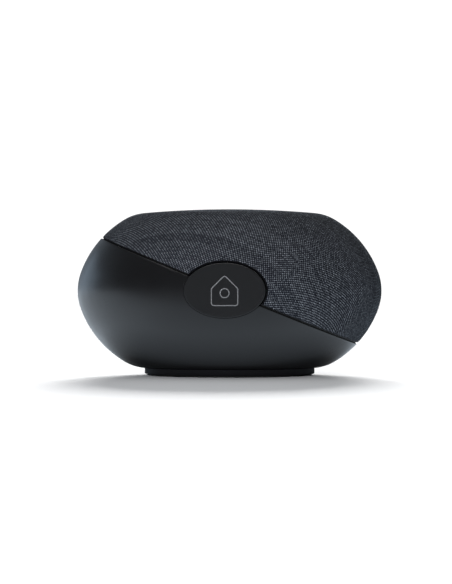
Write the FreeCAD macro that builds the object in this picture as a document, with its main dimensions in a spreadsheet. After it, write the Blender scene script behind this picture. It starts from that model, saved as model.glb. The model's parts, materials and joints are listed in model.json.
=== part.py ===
"""Smart home hub: a squashed round casing, split by one slanting plane into a moulded lower shell and a
cloth-covered grille, with an oval press key at the front, a recessed port bay at the back and a round plinth.

Row frame: millimetres, +Z up, +X to the right and +Y to the back, with the origin under the middle of the
foot pad, on the surface the hub stands on. The casing's own centre is centre_height above that.
"Seam frame" means the casing's centre with Z turned to the seam plane's normal, up and to the right.
"""
import math
import os

import FreeCAD
import Part
import Sketcher

Vector = FreeCAD.Vector
Rotation = FreeCAD.Rotation
Placement = FreeCAD.Placement

doc = FreeCAD.newDocument("SmartHomeHub")
sheet = doc.addObject("Spreadsheet::Sheet", "Dimensions")

DIMENSIONS = [
    # casing outline, one quarter of it: arcs from the widest point to the middle of the top
    ("body_radius", 85.0, "widest radius of the casing"),
    ("side_radius", 30.0, "arc at the widest point"),
    ("side_angle", 20.0, "where the side arc ends, in degrees"),
    ("shoulder_radius", 57.0, "arc of the shoulder"),
    ("shoulder_angle", 59.5, "where the shoulder arc ends, in degrees"),
    ("rim_radius", 24.0, "arc round the edge of the top"),
    ("dome_radius", 540.0, "shallow arc of the top and the bottom"),
    ("centre_height", 47.4, "casing centre above the table"),
    # casing walls
    ("seam_tilt", 22.5, "slant of the seam plane, in degrees"),
    ("seam_gap", 0.9, "open line between the shell and the cloth"),
    ("shell_wall", 2.6, "lower shell"),
    ("cloth_wall", 0.8, "grille cloth"),
    ("cloth_backing_gap", 0.1, "between the cloth and the grille frame"),
    ("grille_wall", 2.2, "grille frame"),
    # front key
    ("key_half_width", 21.7, "oval key"),
    ("key_half_height", 14.6, "oval key"),
    ("key_clearance", 0.2, "between the key and the lower shell"),
    ("cloth_key_gap", 0.7, "between the key and the cloth"),
    ("key_face", 82.3, "flat face of the key in front of the axis"),
    # port bay
    ("bay_x", -6.0, "middle of the port bay"),
    ("bay_z", 24.5, "middle of the port bay above the table"),
    ("bay_width", 46.0, "outside"),
    ("bay_height", 19.0, "outside"),
    ("bay_floor", 57.0, "connector face behind the axis"),
    ("bay_wall", 1.6, "tray wall"),
    # plinth and foot
    ("plinth_radius", 47.5, "outside of the plinth"),
    ("plinth_bore", 38.0, "inside of the plinth"),
    ("pad_depth", 1.6, "foot pad"),
    ("pad_proud", 1.0, "foot pad below the plinth"),
    # inner frame
    ("baffle_top", 1.0, "top of the baffle below the seam plane"),
    ("baffle_depth", 3.0, "baffle plate"),
    ("boss_radius", 3.4, "screw bosses"),
    ("screw_radius", 1.3, "shank of every screw"),
    ("screw_clearance", 0.1, "round every shank"),
    # speaker
    ("cone_radius", 22.5, "outside of the cone"),
    ("coil_radius", 11.9, "inside of the voice coil former"),
    # main board
    ("board_top", 17.0, "top of the main board above the table"),
    ("board_depth", 1.6, "main board"),
    ("board_radius", 50.0, "main board"),
]


class Size:
    """A number together with the spreadsheet expression that gives it."""

    def __init__(self, text, value):
        self.text = text
        self.value = value

    def _with(self, other, sign, value, swap=False):
        mine, theirs = self.text, text_of(other)
        first, last = (theirs, mine) if swap else (mine, theirs)
        return Size(f"({first} {sign} {last})", value)

    def __add__(self, other):
        return self._with(other, "+", self.value + value_of(other))

    def __radd__(self, other):
        return self._with(other, "+", value_of(other) + self.value, swap=True)

    def __sub__(self, other):
        return self._with(other, "-", self.value - value_of(other))

    def __rsub__(self, other):
        return self._with(other, "-", value_of(other) - self.value, swap=True)

    def __mul__(self, other):
        return self._with(other, "*", self.value * value_of(other))

    def __rmul__(self, other):
        return self._with(other, "*", value_of(other) * self.value, swap=True)

    def __truediv__(self, other):
        return self._with(other, "/", self.value / value_of(other))

    def __neg__(self):
        return Size(f"(-1 * {self.text})", -self.value)


def value_of(size):
    return size.value if isinstance(size, Size) else float(size)


def text_of(size):
    return size.text if isinstance(size, Size) else repr(float(size))


def cosine(angle):
    return Size(f"cos({angle.text})", math.cos(math.radians(angle.value)))


def sine(angle):
    return Size(f"sin({angle.text})", math.sin(math.radians(angle.value)))


def root(size):
    return Size(f"sqrt({size.text})", math.sqrt(size.value))


class Dimensions:
    """The spreadsheet's cells as Size attributes."""


dim = Dimensions()
for row, (alias, number, note) in enumerate(DIMENSIONS, start=1):
    sheet.set(f"A{row}", str(number))
    sheet.setAlias(f"A{row}", alias)
    sheet.set(f"B{row}", note)
    setattr(dim, alias, Size(f"Dimensions.{alias}", number))
doc.recompute()

pieces = []
ROW, CASING, SEAM = "row", "casing", "seam"
REACH = 110.0
ALONG_Y = Rotation(Vector(1, 0, 0), -90)
TO_FRONT = Rotation(Vector(1, 0, 0), 90)
SKETCH_UPRIGHT = TO_FRONT


# ---------------------------------------------------------------- binding and placing


def bind(thing, prop, size):
    """Gives a property its size, bound to the spreadsheet where the size comes from there."""
    if isinstance(size, Size):
        thing.setExpression(prop, size.text)
    else:
        setattr(thing, prop, float(size))


def bind_base(thing, prop, at):
    """Moves a placement's base, with a spreadsheet binding for each coordinate that comes from there."""
    rotation = getattr(thing, prop).Rotation
    setattr(thing, prop, Placement(Vector(*[value_of(size) for size in at]), rotation))
    for axis, size in zip("xyz", at):
        if isinstance(size, Size):
            thing.setExpression(f"{prop}.Base.{axis}", size.text)


def place(thing, at=(0, 0, 0), frame=ROW, turn=None):
    """Turns a thing, then moves it to a point of the row, casing or seam frame."""
    x, y, z = at
    turn = turn or Rotation()
    if frame == SEAM:
        across, along = cosine(dim.seam_tilt), sine(dim.seam_tilt)
        x, z = x * across + z * along, z * across - x * along
        turn = Rotation(Vector(0, 1, 0), dim.seam_tilt.value) * turn
    if frame != ROW:
        z = dim.centre_height + z
    thing.Placement = Placement(Vector(), turn)
    bind_base(thing, "Placement", (x, y, z))
    return thing


def piece(thing, label):
    """Names a finished sub-part."""
    thing.Label = label
    pieces.append(thing)
    return thing


# ---------------------------------------------------------------- sketches


def bind_constraint(sketch, number, size):
    if isinstance(size, Size):
        sketch.renameConstraint(number, f"size{number}")
        sketch.setExpression(f"Constraints.size{number}", size.text)


def fix_point(sketch, geometry, end, point):
    """Fixes a point of a sketch by its distances from the sketch's origin."""
    for kind, size, axis in (("DistanceX", point[0], -2), ("DistanceY", point[1], -1)):
        if value_of(size) == 0.0:
            sketch.addConstraint(Sketcher.Constraint("PointOnObject", geometry, end, axis))
        else:
            constraint = Sketcher.Constraint(kind, -1, 1, geometry, end, value_of(size))
            bind_constraint(sketch, sketch.addConstraint(constraint), size)


def arc_through(start, end, radius, side):
    """An arc from start to end. side is 1 where its centre is on the left of that way, else -1."""
    chord = end - start
    rise = math.sqrt(radius**2 - chord.Length**2 / 4)
    to_centre = Vector(-chord.y, chord.x, 0).normalize() * side
    middle = (start + end) / 2 + to_centre * (rise - radius)
    return Part.Arc(start, middle, end)


def draw(sketch, points, arcs=()):
    """A closed outline through points. arcs holds {number of its first point: (radius, side)}."""
    arcs = dict(arcs)
    corners = [Vector(value_of(x), value_of(y), 0) for x, y in points]
    first, count = sketch.GeometryCount, len(points)
    for number, start in enumerate(corners):
        end = corners[(number + 1) % count]
        if number in arcs:
            radius, side = arcs[number]
            sketch.addGeometry(arc_through(start, end, value_of(radius), side))
        else:
            sketch.addGeometry(Part.LineSegment(start, end))
    starts = [
        1 if sketch.getPoint(first + number, 1).isEqual(corner, 1e-6) else 2
        for number, corner in enumerate(corners)
    ]
    for number in range(count):
        after = (number + 1) % count
        sketch.addConstraint(
            Sketcher.Constraint(
                "Coincident", first + number, 3 - starts[number], first + after, starts[after]
            )
        )
    for number, point in enumerate(points):
        fix_point(sketch, first + number, starts[number], point)
        if number in arcs:
            radius = arcs[number][0]
            constraint = Sketcher.Constraint("Radius", first + number, value_of(radius))
            bind_constraint(sketch, sketch.addConstraint(constraint), radius)


def draw_circle(sketch, radius, centre=(0, 0)):
    middle = Vector(value_of(centre[0]), value_of(centre[1]), 0)
    number = sketch.addGeometry(Part.Circle(middle, Vector(0, 0, 1), value_of(radius)))
    fix_point(sketch, number, 3, centre)
    constraint = Sketcher.Constraint("Radius", number, value_of(radius))
    bind_constraint(sketch, sketch.addConstraint(constraint), radius)


def rectangle(low_x, low_y, high_x, high_y):
    return [(low_x, low_y), (high_x, low_y), (high_x, high_y), (low_x, high_y)]


# ---------------------------------------------------------------- bodies made of features


def new_body(label):
    """A body that is a sub-part by itself."""
    return piece(doc.addObject("PartDesign::Body", label), label)


def new_sketch(body, plane="XY_Plane", height=0):
    """A sketch on one of the body's own planes, moved along the plane's normal."""
    sketch = body.newObject("Sketcher::SketchObject", f"{body.Label}_sketch")
    support = next(feature for feature in body.Origin.OriginFeatures if feature.Role == plane)
    sketch.AttachmentSupport = (support, [""])
    sketch.MapMode = "FlatFace"
    bind_base(sketch, "AttachmentOffset", (0, 0, height))
    return sketch


def turn_profile(body, points, arcs=()):
    """Turns an outline of (radius, height) points about the body's own Z."""
    sketch = new_sketch(body, "XZ_Plane")
    draw(sketch, points, arcs)
    feature = body.newObject("PartDesign::Revolution", f"{body.Label}_turned")
    feature.Profile = sketch
    feature.ReferenceAxis = (sketch, ["V_Axis"])
    feature.Angle = 360
    return feature


def pad(body, sketch, length):
    feature = body.newObject("PartDesign::Pad", f"{body.Label}_pad")
    feature.Profile = sketch
    bind(feature, "Length", length)
    return feature


def pocket_through(body, sketch):
    """Cuts a sketch through the whole body, both ways."""
    feature = body.newObject("PartDesign::Pocket", f"{body.Label}_pocket")
    feature.Profile = sketch
    feature.Type = "ThroughAll"
    feature.Midplane = True
    return feature


def repeat_round(body, originals, count):
    """Repeats features round the body's own Z."""
    doc.recompute()
    pattern = body.newObject("PartDesign::PolarPattern", f"{body.Label}_pattern")
    pattern.Originals = originals
    axis = next(feature for feature in body.Origin.OriginFeatures if feature.Role == "Z_Axis")
    pattern.Axis = (axis, [""])
    pattern.Angle = 360
    pattern.Occurrences = count
    body.Tip = pattern
    return pattern


# ---------------------------------------------------------------- solids and booleans


def primitive(kind, at, frame, turn=None, **sizes):
    thing = doc.addObject(f"Part::{kind}", kind)
    for prop, size in sizes.items():
        bind(thing, prop, size)
    return place(thing, at, frame, turn)


def block(low, high, frame=ROW):
    """A box between two corners."""
    length, width, height = [top - bottom for bottom, top in zip(low, high)]
    return primitive("Box", low, frame, Length=length, Width=width, Height=height)


def rod(radius, start, length, frame=ROW, turn=None):
    """A cylinder from the middle of its first end, along +Z, or along +Y with ALONG_Y."""
    return primitive("Cylinder", start, frame, turn, Radius=radius, Height=length)


def turned(points, arcs=(), frame=ROW, at=(0, 0, 0), turn=None):
    """A full turn of an outline of (radius, height) points about Z."""
    sketch = doc.addObject("Sketcher::SketchObject", "Section")
    sketch.Placement = Placement(Vector(), SKETCH_UPRIGHT)
    draw(sketch, points, arcs)
    thing = doc.addObject("Part::Revolution", "Turned")
    thing.Source = sketch
    thing.Axis = Vector(0, 0, 1)
    thing.Angle = 360
    thing.Solid = True
    return place(thing, at, frame, turn)


def extruded(base, start, length, frame=CASING):
    """A flat shape drawn on X and Z, carried along +Y from start."""
    thing = doc.addObject("Part::Extrusion", "Extruded")
    thing.Base = base
    thing.DirMode = "Custom"
    thing.Dir = Vector(0, 1, 0)
    thing.Solid = True
    bind(thing, "LengthFwd", length)
    return place(thing, (0, start, 0), frame)


def oval(grown, start, end):
    """A prism of the key's oval, grown all round, from one distance behind the axis to another."""
    ring = doc.addObject("Part::Ellipse", "Oval")
    bind(ring, "MajorRadius", dim.key_half_width + grown)
    bind(ring, "MinorRadius", dim.key_half_height + grown)
    ring.Placement = Placement(Vector(), SKETCH_UPRIGHT)
    return extruded(ring, start, end - start)


def fuse(*things):
    if len(things) == 1:
        return things[0]
    joined = doc.addObject("Part::MultiFuse", "Joined")
    joined.Shapes = list(things)
    joined.Refine = True
    return joined


def cut(base, *tools):
    result = doc.addObject("Part::Cut", "Trimmed")
    result.Base = base
    result.Tool = fuse(*tools)
    return result


def common(base, other):
    result = doc.addObject("Part::Common", "Shared")
    result.Base = base
    result.Tool = other
    return result


def group(label, things):
    """A sub-part of several separate solids."""
    together = doc.addObject("Part::Compound", label)
    together.Links = things
    return piece(together, label)


def screw(at, frame, turn, length, head_radius=2.3, head_depth=1.5):
    """A screw whose head's underside is at a point. Its shank runs along the turned +Z."""
    points = [
        (0, length), (0, -head_depth + 0.9), (1.1, -head_depth + 0.9), (1.1, -head_depth),
        (head_radius - 0.4, -head_depth), (head_radius, -head_depth + 0.4), (head_radius, 0),
        (dim.screw_radius, 0), (dim.screw_radius, length - 0.8), (dim.screw_radius - 0.6, length),
    ]
    return turned(points, frame=frame, at=at, turn=turn)


# ---------------------------------------------------------------- the casing's outline


def quarter_outline(inset):
    """The casing's outline from its widest point to the top of its axis, moved inwards. Gives the points
    between the arcs, as (radius, height above the casing's centre), and the arcs' radii."""
    side_r = dim.body_radius - dim.side_radius
    shoulder_r = side_r + (dim.side_radius - dim.shoulder_radius) * cosine(dim.side_angle)
    shoulder_z = (dim.side_radius - dim.shoulder_radius) * sine(dim.side_angle)
    rim_r = shoulder_r + (dim.shoulder_radius - dim.rim_radius) * cosine(dim.shoulder_angle)
    rim_z = shoulder_z + (dim.shoulder_radius - dim.rim_radius) * sine(dim.shoulder_angle)
    dome_cosine = rim_r / (dim.dome_radius - dim.rim_radius)
    dome_sine = root(1 - dome_cosine * dome_cosine)
    dome_z = rim_z + (dim.rim_radius - dim.dome_radius) * dome_sine
    radii = [
        radius - inset
        for radius in (dim.side_radius, dim.shoulder_radius, dim.rim_radius, dim.dome_radius)
    ]
    points = [
        (side_r + radii[0] * cosine(dim.side_angle), radii[0] * sine(dim.side_angle)),
        (rim_r + radii[2] * cosine(dim.shoulder_angle), rim_z + radii[2] * sine(dim.shoulder_angle)),
        (rim_r + radii[2] * dome_cosine, rim_z + radii[2] * dome_sine),
        (0, dome_z + radii[3]),
    ]
    return points, radii


def half_outline(inset):
    """The casing's outline from the bottom of its axis to the top, and the radii of its arcs."""
    upper, radii = quarter_outline(inset)
    lower = [(radius, -height) for radius, height in reversed(upper)]
    return lower + upper, radii[:0:-1] + radii


def core(inset):
    """The casing's outline as one solid, moved inwards by inset."""
    points, radii = half_outline(inset)
    return turned(points, {number: (radius, 1) for number, radius in enumerate(radii)}, CASING)


def wall_outline(outer_inset, inner_inset):
    """The points and arcs of half a section between two insets of the casing's outline."""
    outer, outer_radii = half_outline(outer_inset)
    inner, inner_radii = half_outline(inner_inset)
    arcs = {number: (radius, 1) for number, radius in enumerate(outer_radii)}
    arcs.update({len(outer) + number: (radius, -1) for number, radius in enumerate(inner_radii)})
    return outer + inner[::-1], arcs


def wall(outer_inset, inner_inset):
    """The closed shell between two insets of the casing's outline."""
    return turned(*wall_outline(outer_inset, inner_inset), CASING)


def slab(low, high):
    """Everything between two heights above the seam plane."""
    return block((-REACH, -REACH, low), (REACH, REACH, high), SEAM)


# ---------------------------------------------------------------- where the screws are

BAFFLE_SPOTS = [
    (x, side * y) for x, y in ((57.0, 40.0), (-30.0, 63.0), (-62.0, 40.0)) for side in (-1, 1)
]
BOARD_SPOTS = [(x, y) for x in (-31.0, 31.0) for y in (-31.0, 31.0)]
PLINTH_SPOTS = [(42.5, 0.0), (0.0, 42.5), (-42.5, 0.0), (0.0, -42.5)]
HOUSING_SPOTS = [(-16.0, -21.9), (16.0, -21.9)]
SPEAKER_SPOTS = [(34.0 * math.cos(angle), 34.0 * math.sin(angle)) for angle in (0.4, 1.97, 3.54, 5.11)]
PANEL_OFFSET = 27.0
PLINTH_HEAD_ROOM = 1.4
HOUSING_PLATE = (-61.6, -59.6)

FRONT_CUT_END = -60.0
LIP_BACK = -72.0
LIP_FRONT = LIP_BACK - 1.5
SWITCH_BOARD_FRONT = HOUSING_PLATE[0] - 1.6
KEY_POST_X = 10.0

hole_radius = dim.screw_radius + dim.screw_clearance
board_bottom = dim.board_top - dim.board_depth
baffle_bottom = -1 * (dim.baffle_top + dim.baffle_depth)
bay_back = dim.bay_floor - dim.bay_wall


# ---------------------------------------------------------------- casing


def bay_block(grown, start, end):
    """The port bay's block, grown all round, between two distances behind the axis."""
    half_x, half_z = dim.bay_width / 2 + grown, dim.bay_height / 2 + grown
    return block(
        (dim.bay_x - half_x, start, dim.bay_z - half_z), (dim.bay_x + half_x, end, dim.bay_z + half_z)
    )


def lower_shell():
    """The moulded lower shell, with every screw post grown from its wall."""
    posts = [rod(dim.boss_radius, (x, y, -70.0), 70.0 + baffle_bottom, SEAM) for x, y in BAFFLE_SPOTS]
    posts += [rod(dim.boss_radius, (x, y, 0), board_bottom) for x, y in BOARD_SPOTS]
    posts += [rod(dim.boss_radius, (x, y, 0), 11.5) for x, y in PLINTH_SPOTS]
    posts += [
        rod(dim.boss_radius, (x, -REACH, z), HOUSING_PLATE[0] + REACH, CASING, ALONG_Y)
        for x, z in HOUSING_SPOTS
    ]
    posts += [
        rod(dim.boss_radius, (dim.bay_x + side * PANEL_OFFSET, dim.bay_floor, dim.bay_z), 40, ROW, ALONG_Y)
        for side in (-1, 1)
    ]
    holes = [rod(hole_radius, (x, y, -11.0), 9.0, SEAM) for x, y in BAFFLE_SPOTS]
    holes += [rod(hole_radius, (x, y, 8.5), 9.0) for x, y in BOARD_SPOTS]
    holes += [rod(hole_radius, (x, y, 0), 11.0) for x, y in PLINTH_SPOTS]
    holes += [rod(hole_radius, (x, -69.5, z), 9.0, CASING, ALONG_Y) for x, z in HOUSING_SPOTS]
    holes += [
        rod(hole_radius, (dim.bay_x + side * PANEL_OFFSET, bay_back, dim.bay_z), 9.0, ROW, ALONG_Y)
        for side in (-1, 1)
    ]
    solid = fuse(wall(0, dim.shell_wall), common(fuse(*posts), core(dim.shell_wall / 2)))
    openings = [
        slab(-dim.seam_gap / 2, REACH),
        oval(dim.key_clearance, -REACH, FRONT_CUT_END),
        bay_block(0.15, 50.0, REACH),
    ]
    piece(cut(solid, *openings, *holes), "lower_shell")


def upper_skin(label, outer_inset, inner_inset, oval_gap):
    """A skin of the casing above the seam, with the key's opening."""
    skin = common(wall(outer_inset, inner_inset), slab(dim.seam_gap / 2, REACH))
    return piece(cut(skin, oval(oval_gap, -REACH, FRONT_CUT_END)), label)


def grille_frame():
    """The stiff frame under the cloth. Rings of holes let the sound out round the speaker."""
    body = doc.addObject("PartDesign::Body", "grille_skin")
    outside = dim.cloth_wall + dim.cloth_backing_gap
    skin = turn_profile(body, *wall_outline(outside, outside + dim.grille_wall))
    skin.Profile[0].AttachmentOffset = Placement(Vector(), Rotation(Vector(0, 0, 1), dim.seam_tilt.value))
    below = new_sketch(body, "XZ_Plane")
    draw(below, rectangle(-REACH, -REACH, REACH, dim.seam_gap / 2))
    pocket_through(body, below)
    for ring_radius, count in ((9.0, 6), (18.0, 12), (27.0, 18), (36.0, 24)):
        hole = new_sketch(body)
        draw_circle(hole, 2.9, (ring_radius, 0))
        repeat_round(body, [pocket_through(body, hole)], count)
    place(body, frame=SEAM)
    piece(cut(body, oval(dim.cloth_key_gap, -REACH, FRONT_CUT_END)), "grille_frame")


def seam_gasket():
    """The foam strip that closes the seam behind its open line."""
    strip = common(wall(1.0, dim.shell_wall - 0.3), slab(-dim.seam_gap / 2, dim.seam_gap / 2))
    piece(cut(strip, oval(dim.cloth_key_gap + 0.3, -REACH, FRONT_CUT_END)), "seam_gasket")


def base_plinth():
    """The round plinth: its top follows the casing's nearly flat underside, and a groove holds the pad."""
    body = new_body("base_plinth")
    dome_centre = dim.centre_height + dim.dome_radius - quarter_outline(0)[0][-1][1]
    arc_radius = dim.dome_radius + 0.05
    edge_top = dome_centre - root(arc_radius * arc_radius - dim.plinth_radius * dim.plinth_radius)
    groove_top = dim.pad_depth
    points = [
        (0, groove_top), (dim.plinth_bore - 2, groove_top), (dim.plinth_bore - 2, dim.pad_proud),
        (dim.plinth_bore + 0.7, dim.pad_proud), (dim.plinth_bore + 0.7, groove_top),
        (dim.plinth_radius - 1.2, groove_top), (dim.plinth_radius - 1.2, dim.pad_proud),
        (dim.plinth_radius - 0.3, dim.pad_proud), (dim.plinth_radius, dim.pad_proud + 0.3),
        (dim.plinth_radius, edge_top), (0, dome_centre - arc_radius),
    ]
    turn_profile(body, points, {9: (arc_radius, -1)})
    shank = new_sketch(body)
    draw_circle(shank, hole_radius, (PLINTH_SPOTS[0][0], 0))
    head = new_sketch(body, height=groove_top + PLINTH_HEAD_ROOM)
    draw_circle(head, 2.6, (PLINTH_SPOTS[0][0], 0))
    through = pocket_through(body, shank)
    sunk = body.newObject("PartDesign::Pocket", "head_room")
    sunk.Profile = head
    bind(sunk, "Length", 3.0)
    repeat_round(body, [through, sunk], len(PLINTH_SPOTS))


def foot_pad():
    """The rubber ring that the hub stands on."""
    body = new_body("foot_pad")
    low, high, soft = dim.plinth_bore + 0.9, dim.plinth_radius - 1.4, 0.4
    turn_profile(
        body,
        [
            (low + soft, 0), (high - soft, 0), (high, soft), (high, dim.pad_depth),
            (low, dim.pad_depth), (low, soft),
        ],
    )


def casing_screws():
    up, down = Rotation(), Rotation(Vector(1, 0, 0), 180)
    group(
        "plinth_screws",
        [screw((x, y, dim.pad_depth + PLINTH_HEAD_ROOM), ROW, up, 7.5, 2.4, 1.3) for x, y in PLINTH_SPOTS],
    )
    group("baffle_screws", [screw((x, y, -dim.baffle_top), SEAM, down, 9.5) for x, y in BAFFLE_SPOTS])
    group("board_screws", [screw((x, y, dim.board_top), ROW, down, 7.5) for x, y in BOARD_SPOTS])
    group(
        "housing_screws",
        [screw((x, HOUSING_PLATE[1], z), CASING, TO_FRONT, 9.0) for x, z in HOUSING_SPOTS],
    )
    group(
        "panel_screws",
        [
            screw((dim.bay_x + side * PANEL_OFFSET, bay_back, dim.bay_z), ROW, ALONG_Y, 8.0)
            for side in (-1, 1)
        ],
    )
    group("speaker_screws", [screw((x, y, 16.0), SEAM, down, 11.0) for x, y in SPEAKER_SPOTS])


# ---------------------------------------------------------------- front key


def house_symbol():
    """A thin raised outline of a house with a round window, drawn on X and Z about the key's middle."""
    line, half_width, eaves, floor = 0.8, 6.6, 1.0, -7.6
    walls = doc.addObject("Sketcher::SketchObject", "House")
    walls.Placement = Placement(Vector(), SKETCH_UPRIGHT)
    draw(walls, [(-half_width, floor), (half_width, floor), (half_width, eaves), (0, eaves + half_width),
                 (-half_width, eaves)])
    window = doc.addObject("Sketcher::SketchObject", "Window")
    window.Placement = Placement(Vector(), SKETCH_UPRIGHT)
    draw_circle(window, 2.0, (0, -1.4))
    lines = []
    for drawing in (walls, window):
        strip = doc.addObject("Part::Offset2D", "Line")
        strip.Source = drawing
        strip.Value = line
        strip.Fill = True
        lines.append(extruded(strip, -dim.key_face - 0.3, 0.8))
    return lines


def front_key():
    """The oval press key: a flat cap with a skirt, a retaining lip and two posts for the switch mat."""
    plate_back = -dim.key_face + 2.0
    cap = oval(0, -dim.key_face, plate_back)
    rounded = doc.addObject("Part::Fillet", "Rounded")
    doc.recompute()
    front_edge = min(range(len(cap.Shape.Edges)), key=lambda number: cap.Shape.Edges[number].BoundBox.YMax)
    rounded.Base = cap
    rounded.Edges = [(front_edge + 1, 0.5, 0.5)]
    skirt_front, skirt_wall = plate_back - 0.2, 1.6
    skirt = cut(
        fuse(oval(0, skirt_front, LIP_BACK), oval(1.1, LIP_FRONT, LIP_BACK)),
        oval(-skirt_wall, -REACH, FRONT_CUT_END),
    )
    posts = [
        rod(2.0, (side * KEY_POST_X, skirt_front, 0), dim.key_face + LIP_BACK, CASING, ALONG_Y)
        for side in (-1, 1)
    ]
    piece(fuse(rounded, skirt, *posts, *house_symbol()), "front_key")


def key_housing():
    """The oval well that guides the key, with a back plate screwed to the shell's two front posts."""
    well = common(oval(3.0, -REACH, HOUSING_PLATE[1]), core(dim.shell_wall + 0.7))
    tab = block((-21.0, HOUSING_PLATE[0], -25.6), (21.0, HOUSING_PLATE[1], 0), CASING)
    holes = [rod(hole_radius, (x, -65.0, z), 8.0, CASING, ALONG_Y) for x, z in HOUSING_SPOTS]
    slot = block((-7.0, -65.0, -12.0), (7.0, -55.0, -10.6), CASING)
    lip_room = LIP_FRONT - 0.3
    piece(
        cut(
            fuse(well, tab),
            oval(dim.key_clearance + 0.1, -REACH, lip_room),
            oval(1.6, lip_room - 0.01, HOUSING_PLATE[0]),
            slot,
            *holes,
        ),
        "key_housing",
    )


def key_mat():
    """The silicone mat with two snap domes, which presses the key back out."""
    sheet_front = SWITCH_BOARD_FRONT - 1.2
    domes = [
        turned([(0, 0), (4.6, 0), (4.0, 1.2), (3.0, 5.0), (2.6, 5.5), (0, 5.5)], frame=CASING,
               at=(side * KEY_POST_X, sheet_front, 0), turn=TO_FRONT)
        for side in (-1, 1)
    ]
    piece(fuse(oval(-1.0, sheet_front, SWITCH_BOARD_FRONT), *domes), "key_mat")


def key_switch_board():
    """The small oval board with the contacts that the snap domes close."""
    piece(oval(0.6, SWITCH_BOARD_FRONT, HOUSING_PLATE[0]), "key_switch_board")


def key_ribbon():
    """The flat flex from the switch board, through the slot in the housing, down to the main board."""
    back, thick, half = HOUSING_PLATE[1], 0.3, 5.0
    top, low = 36.5, 17.6
    tail = block((-half, back, low), (half, back + thick, top))
    run = block((-half, back, low - thick), (half, -47.0, low))
    piece(fuse(tail, run), "key_ribbon")


# ---------------------------------------------------------------- port bay

JACK_Z = 17.0
ETHERNET_X, POWER_X, BUTTON_X = -16.0, 4.0, 12.4
ETHERNET_HALF, POWER_HALF = 8.1, 4.5
ETHERNET_TOP, POWER_TOP = 30.4, 28.0
JACK_FACE = 56.7
BUTTON_Z, BUTTON_RADIUS = 24.5, 2.3


def port_panel():
    """The recessed tray at the back that the connectors look into, with an ear on each side."""
    ear = PANEL_OFFSET + 3.6
    tray = fuse(
        common(bay_block(0, bay_back, REACH), core(0.6)),
        block(
            (dim.bay_x - ear, bay_back, dim.bay_z - 4.0), (dim.bay_x + ear, dim.bay_floor, dim.bay_z + 4.0)
        ),
    )
    spots = [(dim.bay_x + side * PANEL_OFFSET, bay_back - 1.0, dim.bay_z) for side in (-1, 1)]
    piece(
        cut(
            tray,
            bay_block(-dim.bay_wall, dim.bay_floor, REACH),
            block((ETHERNET_X - ETHERNET_HALF - 0.1, 50, JACK_Z - 0.1),
                  (ETHERNET_X + ETHERNET_HALF + 0.1, 60, ETHERNET_TOP + 0.1)),
            block((POWER_X - POWER_HALF - 0.1, 50, JACK_Z - 0.1),
                  (POWER_X + POWER_HALF + 0.1, 60, POWER_TOP + 0.1)),
            rod(BUTTON_RADIUS + 0.3, (BUTTON_X, 50, BUTTON_Z), 10, ROW, ALONG_Y),
            *[rod(hole_radius, spot, 4.0, ROW, ALONG_Y) for spot in spots],
        ),
        "port_panel",
    )


def pair_button():
    """The small round pairing button: a head through the tray's floor and a collar behind it."""
    body = new_body("pair_button")
    collar_front = -dim.bay_wall - 0.3
    points = [
        (0, collar_front - 1.0), (BUTTON_RADIUS + 1.1, collar_front - 1.0),
        (BUTTON_RADIUS + 1.1, collar_front),
        (BUTTON_RADIUS, collar_front), (BUTTON_RADIUS, 0.5), (BUTTON_RADIUS - 0.3, 0.8), (0, 0.7),
    ]
    turn_profile(body, points)
    place(body, (BUTTON_X, dim.bay_floor, BUTTON_Z), ROW, ALONG_Y)


def pair_switch():
    """The switch behind the pairing button, standing on the main board."""
    face = 52.4
    case = block((BUTTON_X - 3.1, 47.0, JACK_Z), (BUTTON_X + 3.1, face - 0.9, BUTTON_Z + 3.1))
    stem = rod(1.7, (BUTTON_X, face - 0.9, BUTTON_Z), 0.9, ROW, ALONG_Y)
    piece(fuse(case, stem), "pair_switch")


def ethernet_jack():
    """A shielded network socket: a square cavity with a latch slot below it and eight contacts above."""
    half, low, high, depth = 5.9, 19.6, 27.4, 12.5
    shell = block(
        (ETHERNET_X - ETHERNET_HALF, 35.7, JACK_Z), (ETHERNET_X + ETHERNET_HALF, JACK_FACE, ETHERNET_TOP)
    )
    cavity = block((ETHERNET_X - half, JACK_FACE - depth, low), (ETHERNET_X + half, 60, high))
    latch = block((ETHERNET_X - 3.1, JACK_FACE - depth, low - 1.6), (ETHERNET_X + 3.1, 60, low + 1))
    contacts = [
        block((ETHERNET_X + (number - 3.5) * 1.02 - 0.2, JACK_FACE - depth - 0.5, high - 1.0),
              (ETHERNET_X + (number - 3.5) * 1.02 + 0.2, JACK_FACE - 3.0, high + 0.3))
        for number in range(8)
    ]
    piece(fuse(cut(shell, cavity, latch), *contacts), "ethernet_jack")


def power_jack():
    """A barrel power socket with its centre pin."""
    middle, depth = 22.5, 9.5
    shell = block((POWER_X - POWER_HALF, 42.7, JACK_Z), (POWER_X + POWER_HALF, JACK_FACE, POWER_TOP))
    bore = rod(3.15, (POWER_X, JACK_FACE - depth, middle), depth + 5, ROW, ALONG_Y)
    pin = turned([(0, -0.5), (1.0, -0.5), (1.0, depth - 2.0), (0.6, depth - 1.4), (0, depth - 1.4)],
                 at=(POWER_X, JACK_FACE - depth, middle), turn=ALONG_Y)
    piece(fuse(cut(shell, bore), pin), "power_jack")


# ---------------------------------------------------------------- electronics and battery


def main_board():
    body = new_body("main_board")
    sketch = new_sketch(body, height=board_bottom)
    draw_circle(sketch, dim.board_radius)
    for spot in BOARD_SPOTS:
        draw_circle(sketch, hole_radius, spot)
    pad(body, sketch, dim.board_depth)
    rear = new_sketch(body)
    draw(rear, rectangle(-REACH, bay_back - 0.8, REACH, REACH))
    pocket_through(body, rear)


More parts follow.
